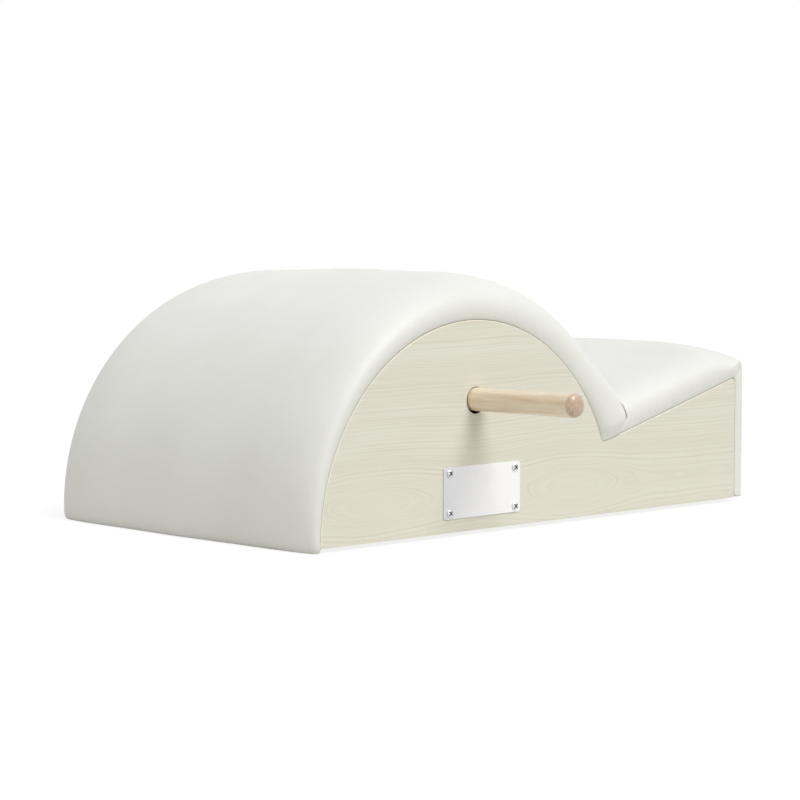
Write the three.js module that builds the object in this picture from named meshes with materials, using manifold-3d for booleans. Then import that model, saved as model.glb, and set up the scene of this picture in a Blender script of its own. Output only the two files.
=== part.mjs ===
// Pilates spine corrector: a padded arch and a padded ramp on a plywood carcass, between two
// laminate side panels, with a pull-out wooden handle on each side.
// Millimetres. +X runs from the arch to the raised end, -Y is the nameplate's side, +Z is up.

import * as THREE from 'three';
import { mergeVertices } from 'three/addons/utils/BufferGeometryUtils.js';
import Module from 'manifold-3d';

const wasm = await Module();
wasm.setup();

// Outline of a side panel, seen from the side
const archRadius = 282;
const archCentreHeight = 2;
const valleyHeight = 103;
const rampEndHeight = 184;
const panelReach = 571;
const valleyFillet = 5;
const rampEndFillet = 7;

// Body and boards
const bodyWidth = 532;
const panelThickness = 15;
const panelEdgeRound = 1.6;
const panelEdgeSteps = 2;
const frameThickness = 18;
const ribThickness = 18;
const deckThickness = 7;
const baseThickness = 9;
const baseRecess = 3;
const railThickness = 18;
const railHeight = 60;
const battenWidth = 36;
const battenDepth = 24;
const endBoardThickness = 18;

// Pads: thickness of the arch pad at its crown, at the floor and on average, then of the others
const archCrownPad = 61.5;
const archFloorPad = 23;
const archMeanPad = 42.5;
const rampPad = 47;
const rampEndPad = 42.5;
const endPad = 18;
const padCrown = 3;
const rampPadStart = 34;

// Pads: their rounded sides and ends. A side swells out from its seam to its widest place, then rolls
// in to the top; the seam share is how far up the pad the widest place is.
const sideSwell = 3;
const sideRoll = 127;
const rollPower = 2.4;
const seamShare = 0.2;
const valleySeamShare = 0.82;
const valleyFootShare = 0.56;
const valleyBlendShare = 0.16;
const rampSeamShare = 0.3;
const rampEndSeamShare = 0.36;
const rampEndRoll = 10;
const rampEndPower = 3;
const rampCornerRound = 3;
const archCornerRound = 13;
const endPadRound = 5;
const endPadSideShare = 0.8;

// Leather covers
const leather = 1.6;
const coverDrop = 5.5;
const coverInset = 0.8;
const seamGap = 1.4;

// Handles, their sockets and holes. The handle drop is how far its axis is below the panel's crown,
// and the handle play is how much wider the panel's hole is than the handle.
const handleDiameter = 32;
const handleReach = 184;
const handleDepth = 94;
const handleDrop = 107;
const handleOffset = 2;
const handleDome = 9;
const handleDomeShare = 0.8;
const handleChamfer = 2;
const handlePlay = 4;
const handleHoleDrop = 1.5;
const socketClearance = 0.4;
const socketWidth = 64;
const socketDepth = 62;

// Nameplate
const plateWidth = 149.5;
const plateHeight = 70;
const plateThickness = 1.2;
const plateEdgeShare = 0.25;
const plateCorner = 4;
const plateBottom = 18.5;
const plateLeft = -61.5;
const plateScrewInset = 11;
const plateScrewRise = 8.2;
const plateScrewLength = 12;

// Screws and feet
const plateScrewHead = 10.6;
const plateScrewHeadHeight = 2.6;
const plateScrewShank = 3.4;
const plateScrewRimShare = 0.45;
const plateScrewFlatShare = 0.3;
const plateScrewSlotShare = 0.17;
const plateScrewReachShare = 0.41;
const plateScrewDepthShare = 0.6;
const plateScrewTurn = Math.PI / 4;
const panelScrewHead = 8;
const panelScrewShank = 4;
const panelScrewLength = 29;
const panelScrewSink = 0.6;
const panelScrewWideShare = 0.66;
const panelScrewAlongShare = 0.45;
const panelScrewUpShare = 0.62;
const footDiameter = 40;
const footStand = 6;
const footTaperShare = 0.3;
const footInset = 62;
const footScrewHead = 9;
const footScrewShank = 4;
const footScrewLength = 12.5;
const footScrewSink = 2.5;

// Fits and fineness
const touchGap = 0.3;
const samePoint = 0.01;
const cutOverrun = 10;
const padArchSteps = 26;
const boardArchSteps = 45;
const filletSteps = 4;
const swellSteps = 2;
const rollSteps = 5;
const endRollSteps = 5;
const endPadSteps = 3;
const bottomSteps = 3;
const domeSteps = 6;
const roundSides = 24;
const holeSides = 32;

// Colour and surface of each material
const finishes = {
  laminate: { color: 0xddd9c8, roughness: 0.5, metalness: 0 },
  plywood: { color: 0xc9b48c, roughness: 0.7, metalness: 0 },
  beech: { color: 0xd7cbb0, roughness: 0.35, metalness: 0 },
  leather: { color: 0xebece7, roughness: 0.45, metalness: 0 },
  foam: { color: 0xe8dcae, roughness: 0.95, metalness: 0 },
  steel: { color: 0xc9cbcc, roughness: 0.35, metalness: 0.9 },
  aluminium: { color: 0xe0e1e3, roughness: 0.4, metalness: 0.9 },
  rubber: { color: 0x2b2b2c, roughness: 0.85, metalness: 0 },
};

// Places worked out from the driving sizes. The drawing origin is the foot of the arch's centre line,
// on the level of the panels' bottom edge; the finished group is moved so that its own origin is
// under the middle of the object, on the floor.
const halfWidth = bodyWidth / 2;
const archCentre = new THREE.Vector2(0, archCentreHeight);
const valley = new THREE.Vector2(
  Math.sqrt(archRadius ** 2 - (valleyHeight - archCentreHeight) ** 2),
  valleyHeight,
);
const rampAlong = new THREE.Vector2(panelReach, rampEndHeight).sub(valley).normalize();
const rampUp = new THREE.Vector2(-rampAlong.y, rampAlong.x);
const padArcCentre = new THREE.Vector2(
  archMeanPad - archFloorPad,
  archCentreHeight + archCrownPad - archMeanPad,
);
const padArcRadius = archRadius + archMeanPad;
// How far the flats that make up a pad's arch lie inside the true arc; the decks stay clear of them.
const padArchSag = padArcRadius * (1 - Math.cos(Math.PI / padArchSteps / 2));
const deckProud = seamGap + leather - padArchSag;
const deckHalf = halfWidth - panelThickness - touchGap - leather;
const frameOuter = halfWidth - panelThickness - touchGap;
const frameInner = frameOuter - frameThickness;
const frameDrop = deckThickness - deckProud + touchGap;
const baseTop = baseRecess + baseThickness;
const padEnd = panelReach + seamGap + endPad;
const plateY = -halfWidth - touchGap;
const handleHeight = archCentreHeight + archRadius - handleDrop;
const handleHole = handleDiameter + handlePlay;
const holeHeight = handleHeight - handleHoleDrop;

// A point on the ramp line: distance from the valley along it, and height square to it.
function rampPoint(along, height) {
  return valley.clone().addScaledVector(rampAlong, along).addScaledVector(rampUp, height);
}

// Height of the line that runs parallel to the ramp, raised square to it, over a place on X.
function rampLevel(x, height) {
  const start = rampPoint(0, height);
  return start.y + (x - start.x) * (rampAlong.y / rampAlong.x);
}

// Where a circle meets the line parallel to the ramp, on the ramp's side of the arch.
function circleOnRamp(centre, radius, height) {
  const start = rampPoint(0, height).sub(centre);
  const half = start.dot(rampAlong);
  const reach = Math.sqrt(half * half - start.lengthSq() + radius * radius) - half;
  return start.addScaledVector(rampAlong, reach).add(centre);
}

function angleFrom(centre, point) {
  return Math.atan2(point.y - centre.y, point.x - centre.x);
}

function onCircle(centre, radius, angle) {
  return new THREE.Vector2(centre.x + radius * Math.cos(angle), centre.y + radius * Math.sin(angle));
}

// The points of an arc, from one angle to another.
function arc(centre, radius, fromAngle, toAngle, steps) {
  const points = [];
  for (let step = 0; step <= steps; step += 1) {
    points.push(onCircle(centre, radius, fromAngle + ((toAngle - fromAngle) * step) / steps));
  }
  return points;
}

// An outline through points, without the ones that repeat.
function outline(points) {
  const kept = points.filter((point, i) => {
    const before = points[(i + points.length - 1) % points.length];
    return point.distanceTo(before) > samePoint;
  });
  return new THREE.Shape(kept);
}

const at = (x, z) => new THREE.Vector2(x, z);

// Solids

function solidOf(geometry) {
  const bare = geometry.clone();
  bare.deleteAttribute('normal');
  bare.deleteAttribute('uv');
  const merged = mergeVertices(bare);
  return new wasm.Manifold(
    new wasm.Mesh({
      numProp: 3,
      vertProperties: merged.attributes.position.array,
      triVerts: new Uint32Array(merged.index.array),
    }),
  );
}

function geometryOf(solid) {
  const mesh = solid.getMesh();
  const geometry = new THREE.BufferGeometry();
  geometry.setAttribute('position', new THREE.BufferAttribute(mesh.vertProperties, 3));
  geometry.setIndex(new THREE.BufferAttribute(mesh.triVerts, 1));
  geometry.computeVertexNormals();
  return geometry;
}

function cut(geometry, tools) {
  let solid = solidOf(geometry);
  for (const tool of tools) solid = solid.subtract(solidOf(tool));
  return geometryOf(solid);
}

// A board whose outline is drawn in X and Z and which spans two places on Y.
function board(shape, fromY, toY, edgeRound = 0) {
  const geometry = new THREE.ExtrudeGeometry(shape, {
    depth: toY - fromY - 2 * edgeRound,
    steps: 1,
    curveSegments: holeSides / 2,
    bevelEnabled: edgeRound > 0,
    bevelThickness: edgeRound,
    bevelSize: edgeRound,
    bevelOffset: -edgeRound,
    bevelSegments: panelEdgeSteps,
  });
  return geometry.rotateX(Math.PI / 2).translate(0, toY - edgeRound, 0);
}

function block(fromX, toX, fromY, toY, fromZ, toZ) {
  const geometry = new THREE.BoxGeometry(toX - fromX, toY - fromY, toZ - fromZ);
  return geometry.translate((fromX + toX) / 2, (fromY + toY) / 2, (fromZ + toZ) / 2);
}

// A turned piece, its profile given as radius and distance along the axis.
function turned(profile, sides) {
  const points = profile.map(([radius, along]) => new THREE.Vector2(radius, along));
  return new THREE.LatheGeometry(points, sides);
}

// Turned pieces point along +Y as they are made; side is -1 for the nameplate's side and 1 for the other.
function towardsSide(geometry, side, x, y, z) {
  if (side < 0) geometry.rotateZ(Math.PI);
  return geometry.translate(x, y, z);
}

// Side panels

// The fillet that joins the arch to the ramp line, as its centre and its two ends.
function valleyRound(radius) {
  const centre = circleOnRamp(archCentre, archRadius + radius, radius);
  const towardsArch = archCentre.clone().sub(centre).normalize();
  return {
    centre,
    start: centre.clone().addScaledVector(towardsArch, radius),
    end: centre.clone().addScaledVector(rampUp, -radius),
  };
}

// The fillet at the top of the raised end, as its centre and its two ends.
function rampEndRound(radius) {
  const x = panelReach - radius;
  const centre = new THREE.Vector2(x, rampLevel(x, -radius));
  return {
    centre,
    start: centre.clone().addScaledVector(rampUp, radius),
    end: new THREE.Vector2(panelReach, centre.y),
  };
}

function panelShape() {
  const low = valleyRound(valleyFillet);
  const high = rampEndRound(rampEndFillet);
  const lowFrom = angleFrom(low.centre, low.end);
  const lowTo = angleFrom(low.centre, low.start);
  const lowTurn = THREE.MathUtils.euclideanModulo(lowFrom - lowTo, 2 * Math.PI);
  return outline([
    at(-archRadius, 0),
    at(panelReach, 0),
    ...arc(high.centre, rampEndFillet, 0, angleFrom(high.centre, high.start), filletSteps),
    ...arc(low.centre, valleyFillet, lowFrom, lowFrom - lowTurn, filletSteps),
    ...arc(archCentre, archRadius, angleFrom(archCentre, low.start), Math.PI, boardArchSteps),
  ]);
}

function sidePanel(side) {
  const shape = panelShape();
  const hole = new THREE.Path();
  hole.absarc(handleOffset, holeHeight, handleHole / 2, 0, 2 * Math.PI, true);
  shape.holes.push(hole);
  const inner = side * (halfWidth - panelThickness);
  const outer = side * halfWidth;
  const panel = board(shape, Math.min(inner, outer), Math.max(inner, outer), panelEdgeRound);
  const pockets = panelScrewPlaces().map(([x, z]) => panelScrewAt(side, x, z, touchGap));
  if (side < 0) pockets.push(...plateScrewPlaces().map(([x, z]) => plateScrewAt(x, z, touchGap)));
  return cut(panel, pockets);
}

// Carcass

function frameShape(reach) {
  const radius = archRadius - frameDrop;
  const corner = circleOnRamp(archCentre, radius, -frameDrop);
  const bottom = baseTop + touchGap;
  const lowAngle = Math.PI - Math.asin((bottom - archCentreHeight) / radius);
  return outline([
    at(reach, bottom),
    at(reach, rampLevel(reach, -frameDrop)),
    ...arc(archCentre, radius, angleFrom(archCentre, corner), lowAngle, boardArchSteps),
  ]);
}

// The corner that a frame or the rib leaves free for the arch foot rail.
function railCorner(fromY, toY) {
  const low = -archRadius - cutOverrun;
  const high = railPlace().to + touchGap;
  return block(low, high, fromY - cutOverrun, toY + cutOverrun, -cutOverrun, railHeight + baseTop);
}

function railPlace() {
  const top = baseTop + railHeight - archCentreHeight;
  const from = -Math.sqrt((archRadius - frameDrop) ** 2 - top ** 2);
  return { from, to: from + railThickness };
}

function sideFrame(side) {
  const fromY = side < 0 ? -frameOuter : frameInner;
  const toY = fromY + frameThickness;
  const frame = board(frameShape(panelReach - endBoardThickness - touchGap), fromY, toY);
  const hole = towardsSide(
    new THREE.CylinderGeometry(handleHole / 2, handleHole / 2, frameThickness + 2 * cutOverrun, holeSides),
    1,
    handleOffset,
    (fromY + toY) / 2,
    holeHeight,
  );
  const pockets = panelScrewPlaces().map(([x, z]) => panelScrewAt(side, x, z, touchGap));
  return cut(frame, [railCorner(fromY, toY), hole, ...pockets]);
}

function centreRib() {
  const fromY = -ribThickness / 2;
  const toY = ribThickness / 2;
  const rib = board(frameShape(panelReach - endBoardThickness - touchGap), fromY, toY);
  return cut(rib, [railCorner(fromY, toY)]);
}

// Bent plywood over the arch, from the level of the panels' bottom edge to the frames' ramp line.
function archDeck() {
  const outer = archRadius + deckProud;
  const inner = outer - deckThickness;
  const end = -frameDrop + touchGap;
  const outerEnd = angleFrom(archCentre, circleOnRamp(archCentre, outer, end));
  const innerEnd = angleFrom(archCentre, circleOnRamp(archCentre, inner, end));
  const shape = outline([
    at(-outer, 0),
    at(-inner, 0),
    ...arc(archCentre, inner, Math.PI, innerEnd, boardArchSteps),
    ...arc(archCentre, outer, outerEnd, Math.PI, boardArchSteps),
  ]);
  return board(shape, -deckHalf, deckHalf);
}

function rampDeckStart() {
  return circleOnRamp(archCentre, archRadius + deckProud, deckProud - deckThickness).x + touchGap;
}

// Flat plywood under the ramp pad, from beside the arch deck to over the end board.
function rampDeck() {
  const from = rampDeckStart();
  const under = deckProud - deckThickness;
  const shape = outline([
    at(from, rampLevel(from, under)),
    at(panelReach, rampLevel(panelReach, under)),
    at(panelReach, rampLevel(panelReach, deckProud)),
    at(from, rampLevel(from, deckProud)),
  ]);
  return board(shape, -deckHalf, deckHalf);
}

function endBoard() {
  const from = panelReach - endBoardThickness;
  const shape = outline([
    at(from, baseTop + touchGap),
    at(panelReach, baseTop + touchGap),
    at(panelReach, rampLevel(panelReach, -frameDrop)),
    at(from, rampLevel(from, -frameDrop)),
  ]);
  return board(shape, -deckHalf, deckHalf);
}

function archFootRail() {
  const rail = railPlace();
  return block(rail.from, rail.to, -deckHalf, deckHalf, baseTop + touchGap, baseTop + railHeight - touchGap);
}

// A batten from a side frame to the centre rib, hung under the decks at a place on the outline.
function batten(side, x, z, tilt) {
  const near = side < 0 ? -frameInner + touchGap : ribThickness / 2 + touchGap;
  const far = side < 0 ? -ribThickness / 2 - touchGap : frameInner - touchGap;
  const geometry = new THREE.BoxGeometry(battenWidth, far - near, battenDepth);
  return geometry.rotateY(-tilt).translate(x, (near + far) / 2, z);
}

function valleyBatten(side) {
  const place = rampPoint(battenWidth / 2, -frameDrop - touchGap - battenDepth / 2);
  return batten(side, place.x, place.y, Math.atan2(rampAlong.y, rampAlong.x));
}

function crownBatten(side) {
  const under = archRadius + deckProud - deckThickness - touchGap;
  const top = Math.sqrt(under ** 2 - (battenWidth / 2) ** 2) * Math.cos(Math.PI / boardArchSteps / 2);
  return batten(side, 0, archCentreHeight + top - battenDepth / 2, 0);
}

function baseFrom() {
  return -archRadius + frameDrop + touchGap;
}

function footPlaces() {
  const places = [];
  for (const x of [baseFrom() + footInset, panelReach - footInset]) {
    for (const side of [-1, 1]) places.push([x, side * (halfWidth - footInset)]);
  }
  return places;
}

function baseBoard() {
  const plank = block(baseFrom(), panelReach, -frameOuter, frameOuter, baseRecess, baseTop);
  return cut(plank, footPlaces().map(([x, y]) => footScrewAt(x, y, touchGap)));
}

// Pads

// The side of a pad from its seam to the top: how far in from its widest place, and how far up as a
// share of the pad's thickness there.
function sideOutline(roll, widest, swell) {
  const points = [];
  for (let step = 0; step < swellSteps; step += 1) {
    const angle = (step / swellSteps) * (Math.PI / 2);
    points.push({ in: swell * (1 - Math.sin(angle)), up: widest * (1 - Math.cos(angle)) });
  }
  for (let step = 0; step < rollSteps; step += 1) {
    const angle = (step / rollSteps) * (Math.PI / 2);
    const up = Math.sin(angle) ** (2 / rollPower);
    points.push({ in: roll * (1 - Math.cos(angle) ** (2 / rollPower)), up: widest + (1 - widest) * up });
  }
  points.push({ in: roll, up: 1 });
  return points;
}

// Lofts a solid through stations. Each has a point under the pad, a point on its top, half a width and
// the place of its widest part.
function padSolid(stations, roll, swell = sideSwell) {
  const positions = [];
  const ring = 2 * (swellSteps + rollSteps + 1) + 1;
  for (const { under, top, half, widest } of stations) {
    const put = (y, up) => {
      positions.push(under.x + (top.x - under.x) * up, y, under.y + (top.y - under.y) * up);
    };
    const side = sideOutline(Math.min(roll, half - touchGap), widest, swell);
    for (const point of side) put(-half + point.in, point.up);
    put(0, 1 + padCrown / under.distanceTo(top));
    for (const point of side.reverse()) put(half - point.in, point.up);
  }
  return loft(positions, stations.length, ring);
}

// A solid with a square section through the same kind of stations.
function squareSolid(stations) {
  const positions = [];
  for (const { under, top, half } of stations) {
    positions.push(under.x, -half, under.y, top.x, -half, top.y);
    positions.push(top.x, half, top.y, under.x, half, under.y);
  }
  return loft(positions, stations.length, 4);
}

// Joins rings of points into one closed surface, with a fan across each end.
function loft(positions, rings, ring) {
  const index = [];
  for (let i = 0; i < rings - 1; i += 1) {
    for (let j = 0; j < ring; j += 1) {
      const a = i * ring + j;
      const b = i * ring + ((j + 1) % ring);
      index.push(a, a + ring, b, b, a + ring, b + ring);
    }
  }
  const last = (rings - 1) * ring;
  for (let j = 1; j < ring - 1; j += 1) {
    index.push(0, j, j + 1);
    index.push(last, last + j + 1, last + j);
  }
  const geometry = new THREE.BufferGeometry();
  geometry.setAttribute('position', new THREE.Float32BufferAttribute(positions, 3));
  geometry.setIndex(index);
  return geometry;
}

// The half width of a pad's skin, drawn in by an inset.
function padHalf(inset) {
  return halfWidth - coverInset + sideSwell - inset;
}

// Stations of the arch pad below the arch's centre, where its outer corner is rounded.
function archFootStations({ inset, lift, bottom }) {
  const left = padArcCentre.x - padArcRadius + inset;
  const round = Math.max(archCornerRound - inset, touchGap);
  const stations = [];
  for (let step = 0; step <= bottomSteps; step += 1) {
    const angle = (step / bottomSteps) * (Math.PI / 2);
    const drawIn = round * (1 - Math.sin(angle));
    const underHeight = THREE.MathUtils.lerp(bottom, archCentreHeight, step / (bottomSteps + 1));
    stations.push({
      under: at(-archRadius - seamGap - lift, underHeight),
      top: at(left + drawIn, bottom + round * (1 - Math.cos(angle))),
      half: padHalf(inset) - drawIn,
      widest: seamShare,
    });
  }
  return stations;
}

// Where the arch pad's side is widest, at a share of its way round. It grows fuller towards the valley.
function archWidest(share) {
  if (share === 1) return valleyFootShare;
  const full = 1 - 1 / padArchSteps;
  const nearness = THREE.MathUtils.smoothstep(share, full - valleyBlendShare, full);
  return THREE.MathUtils.lerp(seamShare, valleySeamShare, nearness);
}

// All stations of the arch pad. Inset draws the skin in, lift raises its underside above the pads'
// seat, bottom and ramp place its two ends, and runOn carries it on past the second.
function archStations({ inset, lift, bottom, ramp, runOn = 0 }) {
  const radius = archRadius + seamGap + lift;
  const outer = padArcRadius - inset;
  const underEnd = angleFrom(archCentre, circleOnRamp(archCentre, radius, ramp));
  const topEnd = angleFrom(padArcCentre, circleOnRamp(padArcCentre, outer, ramp));
  const stations = archFootStations({ inset, lift, bottom });
  const add = (underAngle, topAngle, widest) => {
    const under = onCircle(archCentre, radius, underAngle);
    const top = onCircle(padArcCentre, outer, topAngle);
    stations.push({ under, top, half: padHalf(inset), widest });
  };
  for (let step = 0; step <= padArchSteps; step += 1) {
    const share = step / padArchSteps;
    const { lerp } = THREE.MathUtils;
    add(lerp(Math.PI, underEnd, share), lerp(Math.PI, topEnd, share), archWidest(share));
  }
  if (runOn > 0) add(underEnd - runOn / radius, topEnd - runOn / radius, valleyFootShare);
  return stations;
}

function archForm(options) {
  return padSolid(archStations(options), sideRoll - options.inset);
}

// Stations of the ramp pad, from inside the arch pad to the raised end, where it rolls over.
function rampStations({ inset, lift }) {
  const under = seamGap + lift;
  const length = (padEnd - valley.x) / rampAlong.x - inset;
  const roll = rampEndRoll - inset;
  const stations = [];
  const add = (along, height, half) => {
    const share = (along - rampPadStart) / (length - rampPadStart);
    const top = seamGap - inset + THREE.MathUtils.lerp(rampPad, rampEndPad, share);
    stations.push({
      under: rampPoint(along, under),
      top: rampPoint(along, under + (top - under) * height),
      half,
      widest: THREE.MathUtils.lerp(rampSeamShare, rampEndSeamShare, share),
    });
  };
  add(rampPadStart, 1, padHalf(inset));
  for (let step = 0; step <= endRollSteps; step += 1) {
    const angle = (step / (endRollSteps + 1)) * (Math.PI / 2);
    const along = length - roll * (1 - Math.sin(angle) ** (2 / rampEndPower));
    const width = padHalf(inset) - rampCornerRound * (1 - Math.cos(angle));
    add(along, Math.cos(angle) ** (2 / rampEndPower), width);
  }
  return stations;
}

function rampForm(options) {
  return padSolid(rampStations(options), sideRoll - options.inset);
}

// The way through a cover's underside, inside its turned-in hem, where the foam meets the deck.
function archOpening() {
  const ends = { inset: leather, bottom: -touchGap, ramp: -cutOverrun };
  const low = archStations({ lift: -cutOverrun, ...ends });
  const high = archStations({ lift: leather + touchGap, ...ends });
  const half = deckHalf + touchGap;
  return squareSolid(low.map((station, i) => ({ under: station.under, top: high[i].under, half })));
}

// The room that the ramp deck takes out of the covers that lie on it.
function rampSeat(from) {
  const low = -cutOverrun;
  const high = seamGap + leather + touchGap;
  const shape = outline([
    at(from, rampLevel(from, low)),
    at(panelReach, rampLevel(panelReach, low)),
    at(panelReach, rampLevel(panelReach, high)),
    at(from, rampLevel(from, high)),
  ]);
  return board(shape, -deckHalf - touchGap, deckHalf + touchGap);
}

function archCover() {
  const skin = { inset: 0, lift: 0, bottom: -coverDrop, ramp: seamGap };
  const hollow = { inset: leather, lift: leather, bottom: -coverDrop + leather, ramp: seamGap + leather };
  return cut(archForm(skin), [archForm(hollow), archOpening(), rampSeat(rampDeckStart() - touchGap)]);
}

function archFoam() {
  const inset = leather + touchGap;
  return archForm({ inset, lift: inset, bottom: -coverDrop + inset, ramp: seamGap + inset });
}

// The arch pad grown by a gap and run on below the ramp, to shape what lies against it. Its sides go
// straight down to the seam, so that they leave no thin slip of the ramp pad beside them.
function archTool(gap) {
  const grown = { inset: -gap, lift: -gap, bottom: -coverDrop, ramp: seamGap, runOn: archMeanPad };
  return padSolid(archStations(grown), sideRoll + gap, 0);
}

function rampCover() {
  const outer = cut(rampForm({ inset: 0, lift: 0 }), [archTool(touchGap)]);
  const hollow = cut(rampForm({ inset: leather, lift: leather }), [archTool(touchGap + leather)]);
  return cut(outer, [hollow, rampSeat(valley.x)]);
}

function rampFoam() {
  const inset = leather + touchGap;
  return cut(rampForm({ inset, lift: leather + touchGap }), [archTool(inset + touchGap)]);
}

// The end pad: a thin upright cushion on the end board, with its outer corners rounded.
function endForm(inset) {
  const from = panelReach + seamGap + inset;
  const to = padEnd - inset;
  const bottom = inset;
  const round = Math.max(endPadRound - inset, touchGap);
  const top = seamGap - touchGap - inset;
  const highCentre = at(to - round, rampLevel(to - round, top - round));
  const shape = outline([
    at(from, bottom),
    ...arc(at(to - round, bottom + round), round, -Math.PI / 2, 0, filletSteps),
    ...arc(highCentre, round, 0, rampUp.angle(), filletSteps),
    at(from, rampLevel(from, top)),
  ]);
  const half = halfWidth - coverInset - inset;
  const options = {
    depth: 2 * (half - round),
    steps: 1,
    bevelThickness: round,
    bevelSize: round * endPadSideShare,
    bevelOffset: -round * endPadSideShare,
    bevelSegments: endPadSteps,
  };
  return new THREE.ExtrudeGeometry(shape, options).rotateX(Math.PI / 2).translate(0, half - round, 0);
}

function endCover() {
  const wide = deckHalf;
  const way = block(
    panelReach - cutOverrun,
    panelReach + seamGap + endPad / 2,
    -wide,
    wide,
    baseTop,
    rampLevel(panelReach, seamGap) - cutOverrun,
  );
  return cut(endForm(0), [endForm(leather), way]);
}

function endFoam() {
  return endForm(leather + touchGap);
}

// Handles

function handle(side) {
  const radius = handleDiameter / 2;
  const length = handleReach + handleDepth;
  const profile = [[0, 0], [radius - handleChamfer, 0], [radius, handleChamfer]];
  for (let step = 0; step < domeSteps; step += 1) {
    const angle = (step / domeSteps) * (Math.PI / 2);
    const out = radius * Math.cos(angle) ** handleDomeShare;
    profile.push([out, length - handleDome + handleDome * Math.sin(angle)]);
  }
  profile.push([0, length]);
  const start = side * (halfWidth - handleDepth);
  return towardsSide(turned(profile, holeSides), side, handleOffset, start, handleHeight);
}

function socketBlock(side) {
  const from = frameInner - touchGap;
  const to = from - socketDepth;
  const y = [side * from, side * to];
  const half = socketWidth / 2;
  const wood = block(
    handleOffset - half,
    handleOffset + half,
    Math.min(...y),
    Math.max(...y),
    handleHeight - half,
    handleHeight + half,
  );
  const bore = handleDiameter / 2 + socketClearance;
  const stop = halfWidth - handleDepth - touchGap;
  const profile = [[0, 0], [bore, 0], [bore, handleDepth + cutOverrun], [0, handleDepth + cutOverrun]];
  return cut(wood, [towardsSide(turned(profile, holeSides), side, handleOffset, side * stop, handleHeight)]);
}

// Nameplate

function plateScrewPlaces() {
  const places = [];
  for (const z of [plateBottom + plateScrewRise, plateBottom + plateHeight - plateScrewRise]) {
    places.push([plateLeft + plateScrewInset, z], [plateLeft + plateWidth - plateScrewInset, z]);
  }
  return places;
}

// A pan-head screw seated on the plate, or the pocket that it needs when grow is more than zero.
function plateScrewAt(x, z, grow = 0) {
  const shank = plateScrewShank / 2 + grow;
  const head = plateScrewHead / 2 + grow;
  const tip = plateScrewLength + grow;
  const rim = plateScrewHeadHeight * plateScrewRimShare;
  const flat = plateScrewHead * plateScrewFlatShare;
  const profile = [
    [0, -tip],
    [shank / 2, -tip],
    [shank, -tip + plateScrewShank / 2],
    [shank, -grow],
    [head, -grow],
    [head, rim],
    [flat, plateScrewHeadHeight],
    [0, plateScrewHeadHeight],
  ];
  const seat = plateY - plateThickness - touchGap;
  return towardsSide(turned(profile, roundSides), -1, x, seat, z);
}

function plateScrew(x, z) {
  const screw = plateScrewAt(x, z);
  const slot = plateScrewHead * plateScrewSlotShare;
  const reach = plateScrewHead * plateScrewReachShare;
  const top = plateY - plateThickness - touchGap - plateScrewHeadHeight;
  const deep = top + plateScrewHeadHeight * plateScrewDepthShare;
  const arms = [
    block(-slot / 2, slot / 2, top - cutOverrun, deep, -reach, reach),
    block(-reach, reach, top - cutOverrun, deep, -slot / 2, slot / 2),
  ];
  return cut(screw, arms.map((arm) => arm.rotateY(plateScrewTurn).translate(x, 0, z)));
}

function nameplate() {
  const right = plateLeft + plateWidth;
  const top = plateBottom + plateHeight;
  const corner = plateCorner;
  const quarter = Math.PI / 2;
  const shape = outline([
    ...arc(at(right - corner, plateBottom + corner), corner, -quarter, 0, filletSteps),
    ...arc(at(right - corner, top - corner), corner, 0, quarter, filletSteps),
    ...arc(at(plateLeft + corner, top - corner), corner, quarter, 2 * quarter, filletSteps),
    ...arc(at(plateLeft + corner, plateBottom + corner), corner, 2 * quarter, 3 * quarter, filletSteps),
  ]);
  const edge = plateThickness * plateEdgeShare;
  const geometry = new THREE.ExtrudeGeometry(shape, {
    depth: plateThickness - 2 * edge,
    steps: 1,
    bevelThickness: edge,
    bevelSize: edge,
    bevelOffset: -edge,
    bevelSegments: 1,
  });
  geometry.rotateX(Math.PI / 2).translate(0, plateY - edge, 0);
  return cut(geometry, plateScrewPlaces().map(([x, z]) => plateScrewAt(x, z, touchGap)));
}

// Screws and feet

// Panel screws sit where the frame is widest, clear of the socket and the battens.
function panelScrewPlaces() {
  const low = baseTop + railHeight / 2;
  const wide = archRadius * panelScrewWideShare;
  return [
    [-wide, low],
    [wide, low],
    [-archRadius * panelScrewAlongShare, archRadius * panelScrewUpShare],
    [panelReach - railHeight, low],
  ];
}

// A countersunk screw driven outwards through a side frame into its panel.
function panelScrewAt(side, x, z, grow = 0) {
  const shank = panelScrewShank / 2 + grow;
  const head = panelScrewHead / 2 + grow;
  const cone = panelScrewHead / 2 - panelScrewShank / 2;
  const back = grow > 0 ? cutOverrun : panelScrewSink / 2;
  const profile = [
    [0, -back],
    [head, -back],
    [head, 0],
    [shank, cone],
    [shank, panelScrewLength - panelScrewShank + grow],
    [0, panelScrewLength + grow],
  ];
  const seat = side * (frameInner + panelScrewSink);
  return towardsSide(turned(profile, roundSides / 2), side, x, seat, z);
}

// A countersunk screw driven upwards through a foot into the base board.
function footScrewAt(x, y, grow = 0) {
  const shank = footScrewShank / 2 + grow;
  const head = footScrewHead / 2 + grow;
  const cone = footScrewHead / 2 - footScrewShank / 2;
  const back = grow > 0 ? cutOverrun : touchGap;
  const profile = [
    [0, -back],
    [head, -back],
    [head, 0],
    [shank, cone],
    [shank, footScrewLength - footScrewShank + grow],
    [0, footScrewLength + grow],
  ];
  const geometry = turned(profile, roundSides / 2).rotateX(Math.PI / 2);
  return geometry.translate(x, y, -footStand + footScrewSink);
}

function foot(x, y) {
  const radius = footDiameter / 2;
  const top = footStand + baseRecess - touchGap;
  const taper = footStand * footTaperShare;
  const profile = [[0, 0], [radius - taper, 0], [radius, footStand], [radius, top], [0, top]];
  const pad = turned(profile, roundSides).rotateX(Math.PI / 2).translate(x, y, -footStand);
  return cut(pad, [footScrewAt(x, y, touchGap)]);
}

// Assembly

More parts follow.
